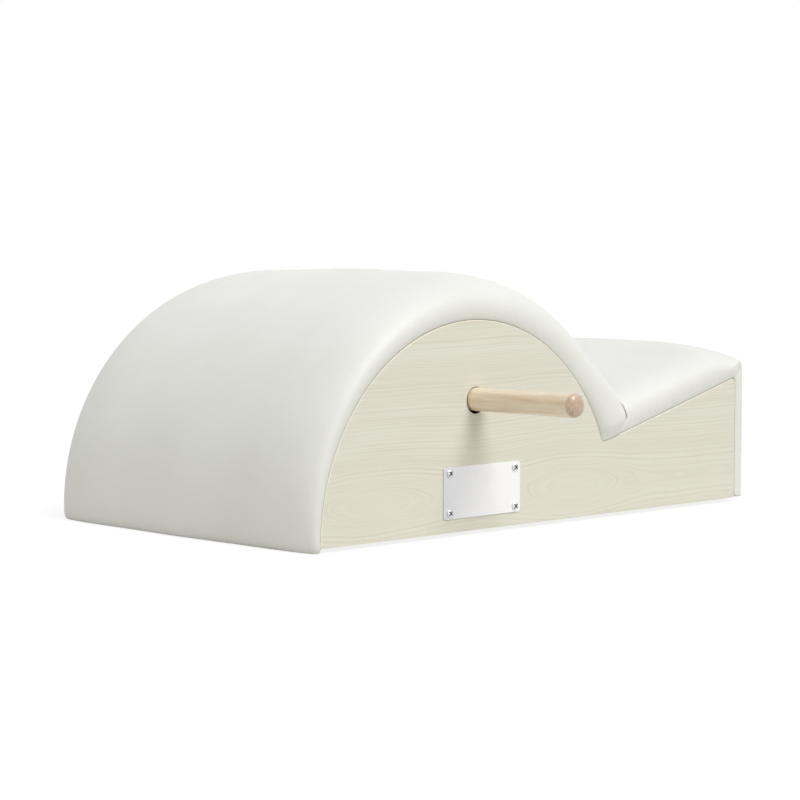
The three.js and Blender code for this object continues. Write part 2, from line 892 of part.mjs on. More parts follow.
const group = new THREE.Group();

function add(name, geometry, finish) {
  const mesh = new THREE.Mesh(geometry, new THREE.MeshStandardMaterial(finishes[finish]));
  mesh.name = name;
  group.add(mesh);
}

for (const [word, side] of [['front', -1], ['back', 1]]) {
  add(`side_panel_${word}`, sidePanel(side), 'laminate');
  add(`side_frame_${word}`, sideFrame(side), 'plywood');
  add(`valley_batten_${word}`, valleyBatten(side), 'plywood');
  add(`crown_batten_${word}`, crownBatten(side), 'plywood');
  add(`handle_${word}`, handle(side), 'beech');
  add(`handle_socket_${word}`, socketBlock(side), 'beech');
  panelScrewPlaces().forEach(([x, z], i) => {
    add(`panel_screw_${word}_${i + 1}`, panelScrewAt(side, x, z), 'steel');
  });
}
add('centre_rib', centreRib(), 'plywood');
add('arch_deck', archDeck(), 'plywood');
add('ramp_deck', rampDeck(), 'plywood');
add('end_board', endBoard(), 'plywood');
add('arch_foot_rail', archFootRail(), 'plywood');
add('base_board', baseBoard(), 'plywood');
add('arch_foam', archFoam(), 'foam');
add('ramp_foam', rampFoam(), 'foam');
add('end_foam', endFoam(), 'foam');
add('arch_cover', archCover(), 'leather');
add('ramp_cover', rampCover(), 'leather');
add('end_cover', endCover(), 'leather');
add('nameplate', nameplate(), 'aluminium');
plateScrewPlaces().forEach(([x, z], i) => add(`plate_screw_${i + 1}`, plateScrew(x, z), 'steel'));
footPlaces().forEach(([x, y], i) => {
  add(`foot_${i + 1}`, foot(x, y), 'rubber');
  add(`foot_screw_${i + 1}`, footScrewAt(x, y), 'steel');
});

const box = new THREE.Box3().setFromObject(group);
group.position.set(-(box.min.x + box.max.x) / 2, 0, footStand);

export default group;
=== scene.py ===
# Pilates spine corrector: cushions, handles, materials, light and camera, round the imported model.
# Metres, +X towards the raised end, -Y the nameplate's side. Sizes of the pads are in millimetres.

import math

import bmesh
import bpy
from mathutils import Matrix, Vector


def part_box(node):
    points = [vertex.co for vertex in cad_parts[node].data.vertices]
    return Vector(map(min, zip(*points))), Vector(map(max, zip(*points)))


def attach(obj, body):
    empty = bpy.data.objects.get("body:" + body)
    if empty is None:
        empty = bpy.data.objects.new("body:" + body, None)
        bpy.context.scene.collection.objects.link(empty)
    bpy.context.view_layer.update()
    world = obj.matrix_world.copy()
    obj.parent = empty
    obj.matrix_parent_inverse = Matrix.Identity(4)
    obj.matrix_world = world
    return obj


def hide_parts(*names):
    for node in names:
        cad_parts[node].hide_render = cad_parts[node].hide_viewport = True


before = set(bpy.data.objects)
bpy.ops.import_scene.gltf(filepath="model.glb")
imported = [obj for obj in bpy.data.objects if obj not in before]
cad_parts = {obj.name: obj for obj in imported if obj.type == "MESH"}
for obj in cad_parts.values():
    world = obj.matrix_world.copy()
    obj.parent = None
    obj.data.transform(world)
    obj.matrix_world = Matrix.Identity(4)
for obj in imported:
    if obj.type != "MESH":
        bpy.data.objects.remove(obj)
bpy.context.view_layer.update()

MM = 0.001
BODY = "body"

# Outline of a side panel, in millimetres, from the foot of the arch's centre line
ARCH_RADIUS = 282
VALLEY_HEIGHT = 103
RAMP_END_HEIGHT = 184
PANEL_REACH = 571
PANEL_FILLET = 7
HALF_WIDTH = 266
ARCH_CENTRE = Vector((0, 2))

# What the pads share, in millimetres; a seam share is how far up the side its widest place is
PAD_HALF = 268.2
PAD_CROWN = 3
SEAM_GAP = 0.5
SEAM_LIP = 0.8
SEAM_TUCK = 1.6
SIDE_SWELL = 1.9
SIDE_ROLL = 127
ROLL_POWER = 2.4
SEAM_SHARE = 0.2

# Arch pad
PAD_ARC_CENTRE = Vector((19.5, 22.2))
PAD_ARC_RADIUS = 325.5
PAD_DROP = 6.2
FOOT_CORNER = Vector((8, 20))
FOOT_SIDE_PART = 3

# The arch pad grows fuller over this part of its way round, where the ramp pad presses against it
VALLEY_BLEND = (0.84, 0.99)
VALLEY_TUCK = (0.975, 1)
VALLEY_SEAM_SHARE = 0.45
VALLEY_ROLL = 70
VALLEY_BULGE = 8
VALLEY_RISE = 12

# Ramp pad; a pair holds a size along the pad and the size at its end
RAMP_PAD = 50
RAMP_END_PAD = 48.5
RAMP_PAD_START = 34
RAMP_START_ROUND = 3
RAMP_PRESS = 2
RAMP_CHANGE = 70
RAMP_ROLLS = (64, 165)
RAMP_POWERS = (2.4, 1.55)
RAMP_CROWNS = (3, 1)
RAMP_SEAM_SHARES = (0.34, 0.29)
RAMP_END_STEP = (2, 9)
RAMP_END_ROLL = 8
RAMP_END_POWER = 3
RAMP_CORNER = 1.2

# The pads press together beside the valley, except between these heights, where a groove shows
GROOVE_FOOT = (12, 18)
GROOVE_TOP = (36, 46)
GROOVE = 3.5

# End pad
END_PAD = 18.8
END_PAD_HALF = 266.2
END_PAD_ROUND = 3
END_PAD_LEAST_ROUND = 1
END_PAD_RISE = 10
END_PAD_LAP = 1.5
END_PAD_TUCK = 3.5
END_SIDE_SHARE = 0.8
END_FACE_PART = 3

# Painted shade: the leather is darker next to the seams, as a dark painted shadow line and a
# broader painted shade, less so beside the valley, and on the ramp's first rings, as painted shade
# in the crease
SEAM_TINT_REACH = 2
SEAM_SHADE_REACH = 24
VALLEY_TINT = 0.15
VALLEY_TINT_BLEND = (0.58, 0.8)
RAMP_TINTED = 2

# How far the pads start inside their finished skin, and how far filling them may move a point
PAD_SLACK = 0.6
FILL_REACH = 2

# Handles, in millimetres
HANDLE_RADIUS = 16
HANDLE_LENGTH = 278
HANDLE_START = 172
HANDLE_DOME = 9
HANDLE_DOME_POWER = 0.8
HANDLE_CHAMFER = 2

# Filling the pads: the foam holds the skin softly in place while the pressure pushes it out
FILL_FRAMES = 20
FILL_QUALITY = 5
FILL_MASS = 0.1
FILL_STIFFNESS = 20
FILL_BENDING = 0.5
FILL_PRESSURE = 20
FILL_LOOSENESS = -0.002
FOAM_HOLD = 0.3

# Fineness of the built meshes
ARCH_STEPS = 140
FOOT_STEPS = 6
SWELL_STEPS = 5
ROLL_STEPS = 22
CROWN_STEPS = 44
RAMP_STEPS = 48
RAMP_START_STEPS = 3
RAMP_END_STEPS = 9
CONTACT_STEPS = 60
SEAM_POINTS = 2 * (SWELL_STEPS + ROLL_STEPS) + CROWN_STEPS + 1
END_PAD_STEPS = 84
END_FACE_STEPS = 28
END_ROUND_STEPS = 4
HANDLE_SIDES = 96
SHAFT_STEPS = 40
DOME_STEPS = 16
CHAMFER_STEPS = 4

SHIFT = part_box("side_panel_front")[1].x - PANEL_REACH * MM
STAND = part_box("side_panel_front")[0].z
PANEL_INSIDE = -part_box("side_panel_front")[1].y / MM

valley = Vector((math.sqrt(ARCH_RADIUS**2 - (VALLEY_HEIGHT - ARCH_CENTRE.y) ** 2), VALLEY_HEIGHT))
ramp_along = (Vector((PANEL_REACH, RAMP_END_HEIGHT)) - valley).normalized()
ramp_up = Vector((-ramp_along.y, ramp_along.x))
pad_end = PANEL_REACH + SEAM_GAP + END_PAD


# Drawing helpers


def place(x, y, z):
    """A point of the drawing, in millimetres, as a place in the row frame."""
    return (x * MM + SHIFT, y * MM, z * MM + STAND)


def lerp(a, b, share):
    return a + (b - a) * share


def smoothstep(low, high, value):
    share = min(max((value - low) / (high - low), 0), 1)
    return share * share * (3 - 2 * share)


def on_circle(centre, radius, angle):
    return centre + radius * Vector((math.cos(angle), math.sin(angle)))


def ramp_point(along, height):
    return valley + ramp_along * along + ramp_up * height


def ramp_level(x, height):
    start = ramp_point(0, height)
    return start.y + (x - start.x) * ramp_along.y / ramp_along.x


def circle_on_ramp(centre, radius, height):
    """Where a circle meets the line parallel to the ramp, as its angle on the circle."""
    start = ramp_point(0, height) - centre
    half = start.dot(ramp_along)
    point = start + ramp_along * (math.sqrt(half**2 - start.length_squared + radius**2) - half)
    return math.atan2(point.y, point.x)


def side_points(roll, widest, bulge, power):
    """A pad's side from seam to top: how far in from the widest place, and what share up."""
    points = []
    for step in range(SWELL_STEPS):
        angle = step / SWELL_STEPS * math.pi / 2
        inward = lerp(SIDE_SWELL, -bulge, math.sin(angle))
        points.append((inward, widest * (1 - math.cos(angle))))
    for step in range(ROLL_STEPS):
        angle = step / ROLL_STEPS * math.pi / 2
        rise = math.sin(angle) ** (2 / power)
        inward = lerp(roll, -bulge, math.cos(angle) ** (2 / power))
        points.append((inward, lerp(widest, 1, rise)))
    return points


def section(half, widest, thickness, roll=SIDE_ROLL, bulge=0, power=ROLL_POWER, crown=PAD_CROWN):
    """One pad section as (y, share up) pairs: over the top from seam to seam, then back below."""
    side = side_points(roll, widest, bulge, power)
    side[0] = (side[0][0], -SEAM_LIP / thickness)
    flat = half - roll
    top = [(-half + inward, up) for inward, up in side]
    for step in range(CROWN_STEPS + 1):
        y = lerp(-flat, flat, step / CROWN_STEPS)
        swell = crown / thickness * (1 + math.cos(math.pi * y / flat)) / 2
        top.append((y, 1 + swell))
    top += [(half - inward, up) for inward, up in reversed(side)]
    seam = half - SIDE_SWELL - SEAM_TUCK
    last = len(top) - 3
    under = [(lerp(seam, -seam, step / last), 0) for step in range(last + 1)]
    return top + under


def ring_between(under, top, half, widest, **shape):
    """The places of one section whose share up runs from the under point to the top point."""
    pairs = section(half, widest, (top - under).length, **shape)
    return [(*(under + (top - under) * up), y) for y, up in pairs]


def mesh_object(name, vertices, faces, smooth=True):
    mesh = bpy.data.meshes.new(name)
    mesh.from_pydata(vertices, [], faces)
    shape = bmesh.new()
    shape.from_mesh(mesh)
    bmesh.ops.recalc_face_normals(shape, faces=shape.faces)
    shape.to_mesh(mesh)
    shape.free()
    mesh.polygons.foreach_set("use_smooth", [smooth] * len(mesh.polygons))
    made = bpy.data.objects.new(name, mesh)
    bpy.context.scene.collection.objects.link(made)
    return made


def paint_seam_shade(made, count, seams, start_rings=0, last_ring=0, valley_tint=1):
    """Marks where shade is painted on the skin: all of the start rings, and next to the seams up to
    a last ring.
    """
    for name in ("seam", "painted_near_seam_shade"):
        made.data.attributes.new(name, "FLOAT", "POINT")
    tint, shade = made.data.attributes["seam"], made.data.attributes["painted_near_seam_shade"]
    points = made.data.vertices
    for index, (mark, soft) in enumerate(zip(tint.data, shade.data)):
        ring, column = divmod(index, count)
        # The start rings get painted shade, in the crease between the pads
        if ring < start_rings:
            mark.value = 1
        elif seams and ring < last_ring:
            places = [points[ring * count + seam].co for seam in seams]
            away = min((points[index].co - seam_at).length for seam_at in places)
            depth = lerp(1, valley_tint, smoothstep(*VALLEY_TINT_BLEND, ring / last_ring))
            # A dark painted shadow line along the seam, fainter beside the valley
            mark.value = depth * max(1 - away / (SEAM_TINT_REACH * MM), 0)
            # A broad painted shade that fades out from the seam
            soft.value = 1 - smoothstep(0, SEAM_SHADE_REACH * MM, away)


def loft(name, rings, seams=(), **tinted):
    """A closed form through rings of points that pair off across, with both ends closed by quads.

    Its two ends and the lines through the seam points keep a sharp edge.
    """
    count = len(rings[0])
    last = count // 2
    vertices = [place(x, y, z) for ring in rings for x, z, y in ring]
    faces = []
    for i in range(len(rings) - 1):
        for j in range(count):
            a, b = i * count + j, i * count + (j + 1) % count
            faces.append((a, b, b + count, a + count))
    last_ring = len(rings) - 1
    for start in (0, last_ring * count):
        faces.append((start, start + 1, start + count - 1))
        for j in range(1, last - 1):
            faces.append((start + j, start + j + 1, start + count - j - 1, start + count - j))
        faces.append((start + last - 1, start + last, start + last + 1))
    made = mesh_object(name, vertices, faces)
    paint_seam_shade(made, count, seams, **tinted)
    creases = made.data.attributes.new("crease_edge", "FLOAT", "EDGE")
    for edge in made.data.edges:
        (ring_a, a), (ring_b, b) = (divmod(index, count) for index in edge.vertices)
        round_end = ring_a == ring_b and ring_a in (0, last_ring) and abs(a - b) in (1, count - 1)
        if round_end or (a == b and a in seams):
            creases.data[edge.index].value = 1
    return made


# Pads


def arch_station(share):
    """The arch pad's underside, top and section at a share of its way round."""
    full = smoothstep(*VALLEY_BLEND, share)
    proud = full * (1 - smoothstep(*VALLEY_TUCK, share))
    shape = {
        "widest": lerp(SEAM_SHARE, VALLEY_SEAM_SHARE, full),
        "roll": lerp(SIDE_ROLL, VALLEY_ROLL, full),
        "bulge": VALLEY_BULGE * proud,
    }
    under_radius = ARCH_RADIUS + SEAM_GAP
    top_radius = PAD_ARC_RADIUS - PAD_SLACK + VALLEY_RISE * proud
    under_end = circle_on_ramp(ARCH_CENTRE, under_radius, SEAM_GAP)
    top_end = circle_on_ramp(PAD_ARC_CENTRE, top_radius, SEAM_GAP)
    under = on_circle(ARCH_CENTRE, under_radius, lerp(math.pi, under_end, share))
    top = on_circle(PAD_ARC_CENTRE, top_radius, lerp(math.pi, top_end, share))
    return under, top, shape


def arch_rings():
    """The arch pad's sections: its rounded foot, then round the arch to the valley."""
    half = PAD_HALF - PAD_SLACK
    bottom = -PAD_DROP + PAD_SLACK
    under, top, shape = arch_station(0)
    rings = []
    for step in range(FOOT_STEPS):
        angle = step / FOOT_STEPS * math.pi / 2
        draw_in = FOOT_CORNER.x * (1 - math.sin(angle))
        low = Vector((under.x, lerp(bottom, ARCH_CENTRE.y, step / FOOT_STEPS)))
        high = Vector((top.x + draw_in, bottom + FOOT_CORNER.y * (1 - math.cos(angle))))
        rings.append(ring_between(low, high, half - draw_in / FOOT_SIDE_PART, **shape))
    for step in range(ARCH_STEPS + 1):
        under, top, shape = arch_station(step / ARCH_STEPS)
        rings.append(ring_between(under, top, half, **shape))
    return rings


def skin_share(inward, widest, roll, bulge):
    """How far up the skin of a section lies, for a place that far in from the pad's side."""
    if inward >= roll:
        return 1
    lean = math.acos(min((roll - inward) / (roll + bulge), 1) ** (ROLL_POWER / 2))
    return lerp(widest, 1, math.sin(lean) ** (2 / ROLL_POWER))


def arch_contact(y, height):
    """How far along the ramp a line at that height and place on Y comes out of the arch pad."""
    inward = PAD_HALF - PAD_SLACK - abs(y)
    before = None
    for step in range(CONTACT_STEPS + 1):
        under, top, shape = arch_station(lerp(VALLEY_BLEND[0], 1, step / CONTACT_STEPS))
        away = under.lerp(top, skin_share(inward, **shape)) - valley
        here = Vector((away.dot(ramp_along), away.dot(ramp_up)))
        if here.y <= height:
            if before is None:
                return here.x
            return lerp(before.x, here.x, (before.y - height) / (before.y - here.y))
        before = here
    return before.x


def ramp_rings():
    """The ramp pad's sections, from the arch pad's skin to the raised end."""
    length = (pad_end - valley.x) / ramp_along.x - PAD_SLACK
    board_end = (PANEL_REACH - valley.x) / ramp_along.x
    half = PAD_HALF - PAD_SLACK

    def levels(along):
        share = (along - RAMP_PAD_START) / (length - RAMP_PAD_START)
        step_up = smoothstep(*(board_end + past for past in RAMP_END_STEP), along)
        under = SEAM_GAP + (END_PAD_RISE - END_PAD_LAP) * step_up
        return under, SEAM_GAP - PAD_SLACK + lerp(RAMP_PAD, RAMP_END_PAD, share)

    def ring(along, rise, half):
        under, top = levels(along)
        thickness = (top - under) * rise
        change = smoothstep(length - RAMP_CHANGE, length, along)
        sizes = (RAMP_SEAM_SHARES, RAMP_ROLLS, RAMP_POWERS, RAMP_CROWNS)
        widest, roll, power, crown = (lerp(*pair, change) for pair in sizes)
        points = section(half, widest, thickness, roll, power=power, crown=crown)
        return [(under + thickness * up, y) for y, up in points]

    def groove(height):
        return GROOVE * smoothstep(*GROOVE_FOOT, height) * (1 - smoothstep(*GROOVE_TOP, height))

    first = ring(RAMP_PAD_START, 1, half)
    contact = [arch_contact(y, height) - RAMP_PRESS + groove(height) for height, y in first]
    stops = []
    for step in range(RAMP_START_STEPS):
        angle = step / RAMP_START_STEPS * math.pi / 2
        draw_in = RAMP_START_ROUND * (1 - math.sin(angle))
        along = RAMP_PAD_START + RAMP_START_ROUND - draw_in
        stops.append((along, 1 - draw_in / RAMP_PAD, half - draw_in))
    start, straight = RAMP_PAD_START + RAMP_START_ROUND, length - RAMP_END_ROLL
    stops += [(lerp(start, straight, step / RAMP_STEPS), 1, half) for step in range(RAMP_STEPS)]
    for step in range(RAMP_END_STEPS):
        angle = step / RAMP_END_STEPS * math.pi / 2
        along = length - RAMP_END_ROLL * (1 - math.sin(angle) ** (2 / RAMP_END_POWER))
        rise = math.cos(angle) ** (2 / RAMP_END_POWER)
        stops.append((along, rise, half - RAMP_CORNER * (1 - math.cos(angle))))
    rings = []
    for along, rise, half_here in stops:
        start_share = max((straight - along) / (straight - RAMP_PAD_START), 0)
        points = ring(along, rise, half_here)
        shift = [(touch - RAMP_PAD_START) * start_share for touch in contact]
        moved = [ramp_point(along + move, height) for move, (height, y) in zip(shift, points)]
        rings.append([(*point, y) for point, (height, y) in zip(moved, points)])
    return rings


def end_inner_face(z, gap, beside):
    """The end pad's inner face at a height; beside a panel it tucks round the panel's corner."""
    centre_x = PANEL_REACH - PANEL_FILLET
    up = max(z - ramp_level(centre_x, -PANEL_FILLET), 0)
    radius = PANEL_FILLET + gap
    round_corner = centre_x + math.sqrt(max(radius**2 - up**2, 0))
    return lerp(PANEL_REACH + gap, max(round_corner, PANEL_REACH - END_PAD_TUCK), beside)


def corner_points(centre, radius, start, end):
    """A rounded corner: points on a circle from one angle to another."""
    shares = [step / END_ROUND_STEPS for step in range(END_ROUND_STEPS + 1)]
    return [on_circle(centre, radius, lerp(start, end, share)) for share in shares]


def end_ring(inset, y):
    """The end pad's outline in X and Z, drawn in by an inset, with its outer corners rounded."""
    gap = SEAM_GAP + inset / END_FACE_PART
    beside = smoothstep(PANEL_INSIDE, HALF_WIDTH, abs(y) + END_PAD_ROUND)
    low = Vector((PANEL_REACH + gap, inset))
    far = pad_end - inset
    turn = max(END_PAD_ROUND - inset, END_PAD_LEAST_ROUND)
    top = END_PAD_RISE - inset
    low_centre = Vector((far - turn, inset + turn))
    high_centre = Vector((far - turn, ramp_level(far - turn, top - turn)))
    outer = corner_points(low_centre, turn, -math.pi / 2, 0)
    rise_from, rise_to = outer[-1], on_circle(high_centre, turn, 0)
    for step in range(1, END_FACE_STEPS):
        outer.append(rise_from.lerp(rise_to, step / END_FACE_STEPS))
    outer += corner_points(high_centre, turn, 0, math.atan2(ramp_up.y, ramp_up.x))
    high = ramp_level(low.x, top)
    steps = len(outer) - 1
    heights = [lerp(high, low.y, (step / steps) ** 2) for step in range(steps)]
    inner = [Vector((end_inner_face(z, gap, beside), z)) for z in heights]
    return [(point.x, point.y, y) for point in [low, *outer, *inner]]


def end_rings():
    """The end pad's outlines, from its front side to its back, with both sides rounded."""
    inset = PAD_SLACK / 2
    half = END_PAD_HALF - inset
    rings = []
    for side in (-1, 1):
        ends = []
        for step in range(END_ROUND_STEPS + 1):
            angle = step / END_ROUND_STEPS * math.pi / 2
            draw_in = END_PAD_ROUND * (1 - math.sin(angle))
            y = side * (half - END_PAD_ROUND * (1 - math.cos(angle)))
            ends.append((inset + draw_in * END_SIDE_SHARE, y))
        ends.sort(key=lambda pair: pair[1])
        if side > 0:
            straight = half - END_PAD_ROUND
            for step in range(1, END_PAD_STEPS):
                rings.append(end_ring(inset, lerp(-straight, straight, step / END_PAD_STEPS)))
        rings += [end_ring(*pair) for pair in ends]
    return rings


def held_points(rings, seam):
    """The points that a pad's board holds: its underside, its seams and its first and last ring."""
    count = len(rings[0])
    held = []
    for i in range(len(rings)):
        whole = i in (0, len(rings) - 1)
        for j in range(count):
            if whole or j >= seam or j < 1:
                held.append(i * count + j)
    return held


def held_end_points(rings):
    """The end pad is held along its inner face, next to the end board."""
    inner = PANEL_REACH + SEAM_GAP + END_PAD_ROUND / END_FACE_PART
    points = [point for ring in rings for point in ring]
    return [index for index, (x, z, y) in enumerate(points) if x < inner]


def fill_pads(pads):
    """Fills each pad like cloth under pressure. The held points stay, and no point moves far."""
    starts = {}
    for pad, held in pads:
        group = pad.vertex_groups.new(name="held")
        group.add(range(len(pad.data.vertices)), FOAM_HOLD, "REPLACE")
        group.add(held, 1, "REPLACE")
        starts[pad] = [vertex.co.copy() for vertex in pad.data.vertices]
        cloth = pad.modifiers.new("fill", "CLOTH")
        cloth.settings.quality = FILL_QUALITY
        cloth.settings.mass = FILL_MASS
        cloth.settings.tension_stiffness = cloth.settings.compression_stiffness = FILL_STIFFNESS
        cloth.settings.bending_stiffness = FILL_BENDING
        cloth.settings.use_pressure = True
        cloth.settings.uniform_pressure_force = FILL_PRESSURE
        cloth.settings.shrink_min = FILL_LOOSENESS
        cloth.settings.vertex_group_mass = "held"
        cloth.settings.effector_weights.gravity = 0
        cloth.point_cache.frame_end = FILL_FRAMES
    for step in range(1, FILL_FRAMES + 1):
        bpy.context.scene.frame_set(step)
    graph = bpy.context.evaluated_depsgraph_get()
    reach = FILL_REACH * MM
    for pad, held in pads:
        filled = [vertex.co.copy() for vertex in pad.evaluated_get(graph).data.vertices]
        pad.modifiers.clear()
        for vertex, before, after in zip(pad.data.vertices, starts[pad], filled):
            move = after - before
            if move.length > 0:
                share = 1 - math.exp(-move.length / reach)
                vertex.co = before + move.normalized() * reach * share
    bpy.context.scene.frame_set(1)


def make_pads():
    arch, on_ramp = arch_rings(), ramp_rings()
    board_end = PANEL_REACH - PANEL_FILLET / 2
    on_board = sum(max(x for x, z, y in ring) < board_end for ring in on_ramp)
    # Where each pad gets painted shade: by its seams, and on the ramp in the crease
    arch_tint = {"last_ring": len(arch), "valley_tint": VALLEY_TINT}
    ramp_tint = {"start_rings": RAMP_TINTED, "last_ring": on_board}
    forms = {
        "arch_pad": (arch, ("arch_cover", "arch_foam"), arch_tint),
        "ramp_pad": (on_ramp, ("ramp_cover", "ramp_foam"), ramp_tint),
        "end_pad": (end_rings(), ("end_cover", "end_foam"), {}),
    }
    pads = []
    for name, (rings, nodes, tinted) in forms.items():
        seam = SEAM_POINTS - 1
        end = name == "end_pad"
        pad = loft(name, rings, () if end else (0, seam), **tinted)
        held = held_end_points(rings) if end else held_points(rings, seam)
        pads.append((pad, held))
        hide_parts(*nodes)
    fill_pads(pads)
    for pad, held in pads:
        smooth = pad.modifiers.new("smooth", "SUBSURF")
        smooth.levels = smooth.render_levels = 1
        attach(pad, BODY)
    return [pad for pad, held in pads]


# Handles


def handle_profile():
    """Radius and distance from the inner end, in millimetres."""
    profile = []
    for step in range(CHAMFER_STEPS + 1):
        angle = step / CHAMFER_STEPS * math.pi / 2
        out = HANDLE_RADIUS - HANDLE_CHAMFER * (1 - math.sin(angle))
        profile.append((out, HANDLE_CHAMFER * (1 - math.cos(angle))))
    straight = HANDLE_LENGTH - HANDLE_DOME
    for step in range(1, SHAFT_STEPS):
        profile.append((HANDLE_RADIUS, lerp(HANDLE_CHAMFER, straight, step / SHAFT_STEPS)))
    for step in range(DOME_STEPS):
        angle = step / DOME_STEPS * math.pi / 2
        out = HANDLE_RADIUS * math.cos(angle) ** HANDLE_DOME_POWER
        profile.append((out, straight + HANDLE_DOME * math.sin(angle)))
    return profile


def make_handle(word, side):
    low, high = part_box(f"handle_{word}")
    x, z = (low.x + high.x) / 2, (low.z + high.z) / 2
    profile = handle_profile()
    vertices, faces = [], []
    for out, along in profile:
        y = side * (HANDLE_START + along) * MM
        for i in range(HANDLE_SIDES):
            angle = 2 * math.pi * i / HANDLE_SIDES
            vertices.append((x + out * MM * math.cos(angle), y, z + out * MM * math.sin(angle)))
    for i in range(len(profile) - 1):
        for j in range(HANDLE_SIDES):
            a, b = i * HANDLE_SIDES + j, i * HANDLE_SIDES + (j + 1) % HANDLE_SIDES
            faces.append((a, b, b + HANDLE_SIDES, a + HANDLE_SIDES))
    first, last = len(vertices), len(vertices) + 1
    vertices.append((x, side * HANDLE_START * MM, z))
    vertices.append((x, side * (HANDLE_START + HANDLE_LENGTH) * MM, z))
    top = (len(profile) - 1) * HANDLE_SIDES
    for j in range(HANDLE_SIDES):
        after = (j + 1) % HANDLE_SIDES
        faces.append((after, j, first))
        faces.append((top + j, top + after, last))
    handle = mesh_object(f"peg_{word}", vertices, faces)
    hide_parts(f"handle_{word}")
    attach(handle, f"handle_{word}")
    return handle


# Materials


def put(tree, kind, inputs=None, **settings):
    """Adds a shader node, sets its settings, and sets or links its inputs."""
    made = tree.nodes.new("ShaderNode" + kind)
    for key, value in settings.items():
        setattr(made, key, value)
    for key, value in (inputs or {}).items():
        feed_socket(tree, made.inputs[key], value)
    return made


def feed_socket(tree, socket, value):
    if isinstance(value, bpy.types.NodeSocket):
        tree.links.new(value, socket)
    else:
        socket.default_value = value


def feed(tree, surface, **sockets):
    """Sets or links the surface's inputs; an underscore in a name stands for a space."""
    for key, value in sockets.items():
        feed_socket(tree, surface.inputs[key.replace("_", " ")], value)


def calc(tree, operation, *values, clamp=False):
    made = put(tree, "Math", dict(enumerate(values)), operation=operation, use_clamp=clamp)
    return made.outputs[0]


def sum_of_squares(tree, a, b):
    return calc(tree, "ADD", calc(tree, "MULTIPLY", a, a), calc(tree, "MULTIPLY", b, b))


def mix_colour(tree, share, a, b):
    return put(tree, "Mix", {0: share, 6: a, 7: b}, data_type="RGBA").outputs[2]


def grey(value):
    return (value, value, value, 1)


def fade(tree, value, low, high, start=0, end=1):
    """A grey that runs from start to end while the value goes from low to high."""
    made = put(tree, "ValToRGB", {"Fac": value})
    for element, position, shade in zip(made.color_ramp.elements, (low, high), (start, end)):
        element.position = position
        element.color = grey(shade)
    return made.outputs["Color"]


def way_along(tree, value, low, high, start=0):
    """A number that runs from start to one while the value goes from low to high."""
    inputs = {"Value": value, "From Min": low, "From Max": high, "To Min": start}
    return put(tree, "MapRange", inputs).outputs[0]


def spot(tree):
    """The place on the object, in metres, as a vector and as its three parts."""
    place_on = put(tree, "TexCoord").outputs["Object"]
    parts = put(tree, "SeparateXYZ", {0: place_on})
    return place_on, parts.outputs[0], parts.outputs[1], parts.outputs[2]


def squareness(tree, axis):
    """One where the surface lies square across an axis, and zero where it runs along it."""
    normal = put(tree, "NewGeometry").outputs["True Normal"]
    return calc(tree, "ABSOLUTE", put(tree, "SeparateXYZ", {0: normal}).outputs[axis])


def speckle(tree, vector, scale, detail=3, roughness=0.5, distortion=0):
    """Noise of one fineness, or of a fineness for each axis."""
    if isinstance(scale, tuple):
        vector, scale = put(tree, "Mapping", {"Vector": vector, "Scale": scale}).outputs[0], 1
    inputs = {"Vector": vector, "Scale": scale, "Detail": detail}
    inputs |= {"Roughness": roughness, "Distortion": distortion}
    return put(tree, "TexNoise", inputs).outputs["Fac"]


def line_noise(tree, value, per_metre, detail):
    """Noise along one value, for lines of uneven width and depth."""
    inputs = {"W": calc(tree, "MULTIPLY", value, per_metre), "Scale": 1, "Detail": detail}
    inputs["Roughness"] = LINE_ROUGHNESS
    return put(tree, "TexNoise", inputs, noise_dimensions="1D").outputs["Fac"]


def bump(tree, height, distance, strength, before=None):
    inputs = {"Height": height, "Distance": distance, "Strength": strength}
    if before is not None:
        inputs["Normal"] = before
    return put(tree, "Bump", inputs).outputs["Normal"]


def cleared_tree(holder):
    holder.use_nodes = True
    holder.node_tree.nodes.clear()
    return holder.node_tree


def new_material(name):
    material = bpy.data.materials.new(name)
    tree = cleared_tree(material)
    surface = put(tree, "BsdfPrincipled")
    put(tree, "OutputMaterial", {"Surface": surface.outputs["BSDF"]})
    return material, tree, surface


# Leather. In the materials, a fineness is in cells per metre; a relief is its depth, in metres, and
# its strength; and a gloss is the lowest and highest roughness

LEATHER = (0.83, 0.835, 0.80, 1)
LEATHER_SHADE = (0.79, 0.797, 0.755, 1)
# Painted shade next to the seams: a broad painted shade, then a dark painted shadow line
PAINTED_NEAR_SEAM_SHADE = (0.755, 0.765, 0.72, 1)
PAINTED_SEAM_SHADOW = (0.36, 0.33, 0.26, 1)
TONE_FINENESS = 9
SHINE_FINENESS, LEATHER_GLOSS = 60, (0.36, 0.47)
PEBBLE_FINENESS, PEBBLE_RELIEF = 620, (0.00035, 0.25)
PORE_FINENESS, PORE_RELIEF = 1500, (0.0002, 0.12)
DRAPE_FINENESS, DRAPE_RELIEF = 26, (0.002, 0.05)


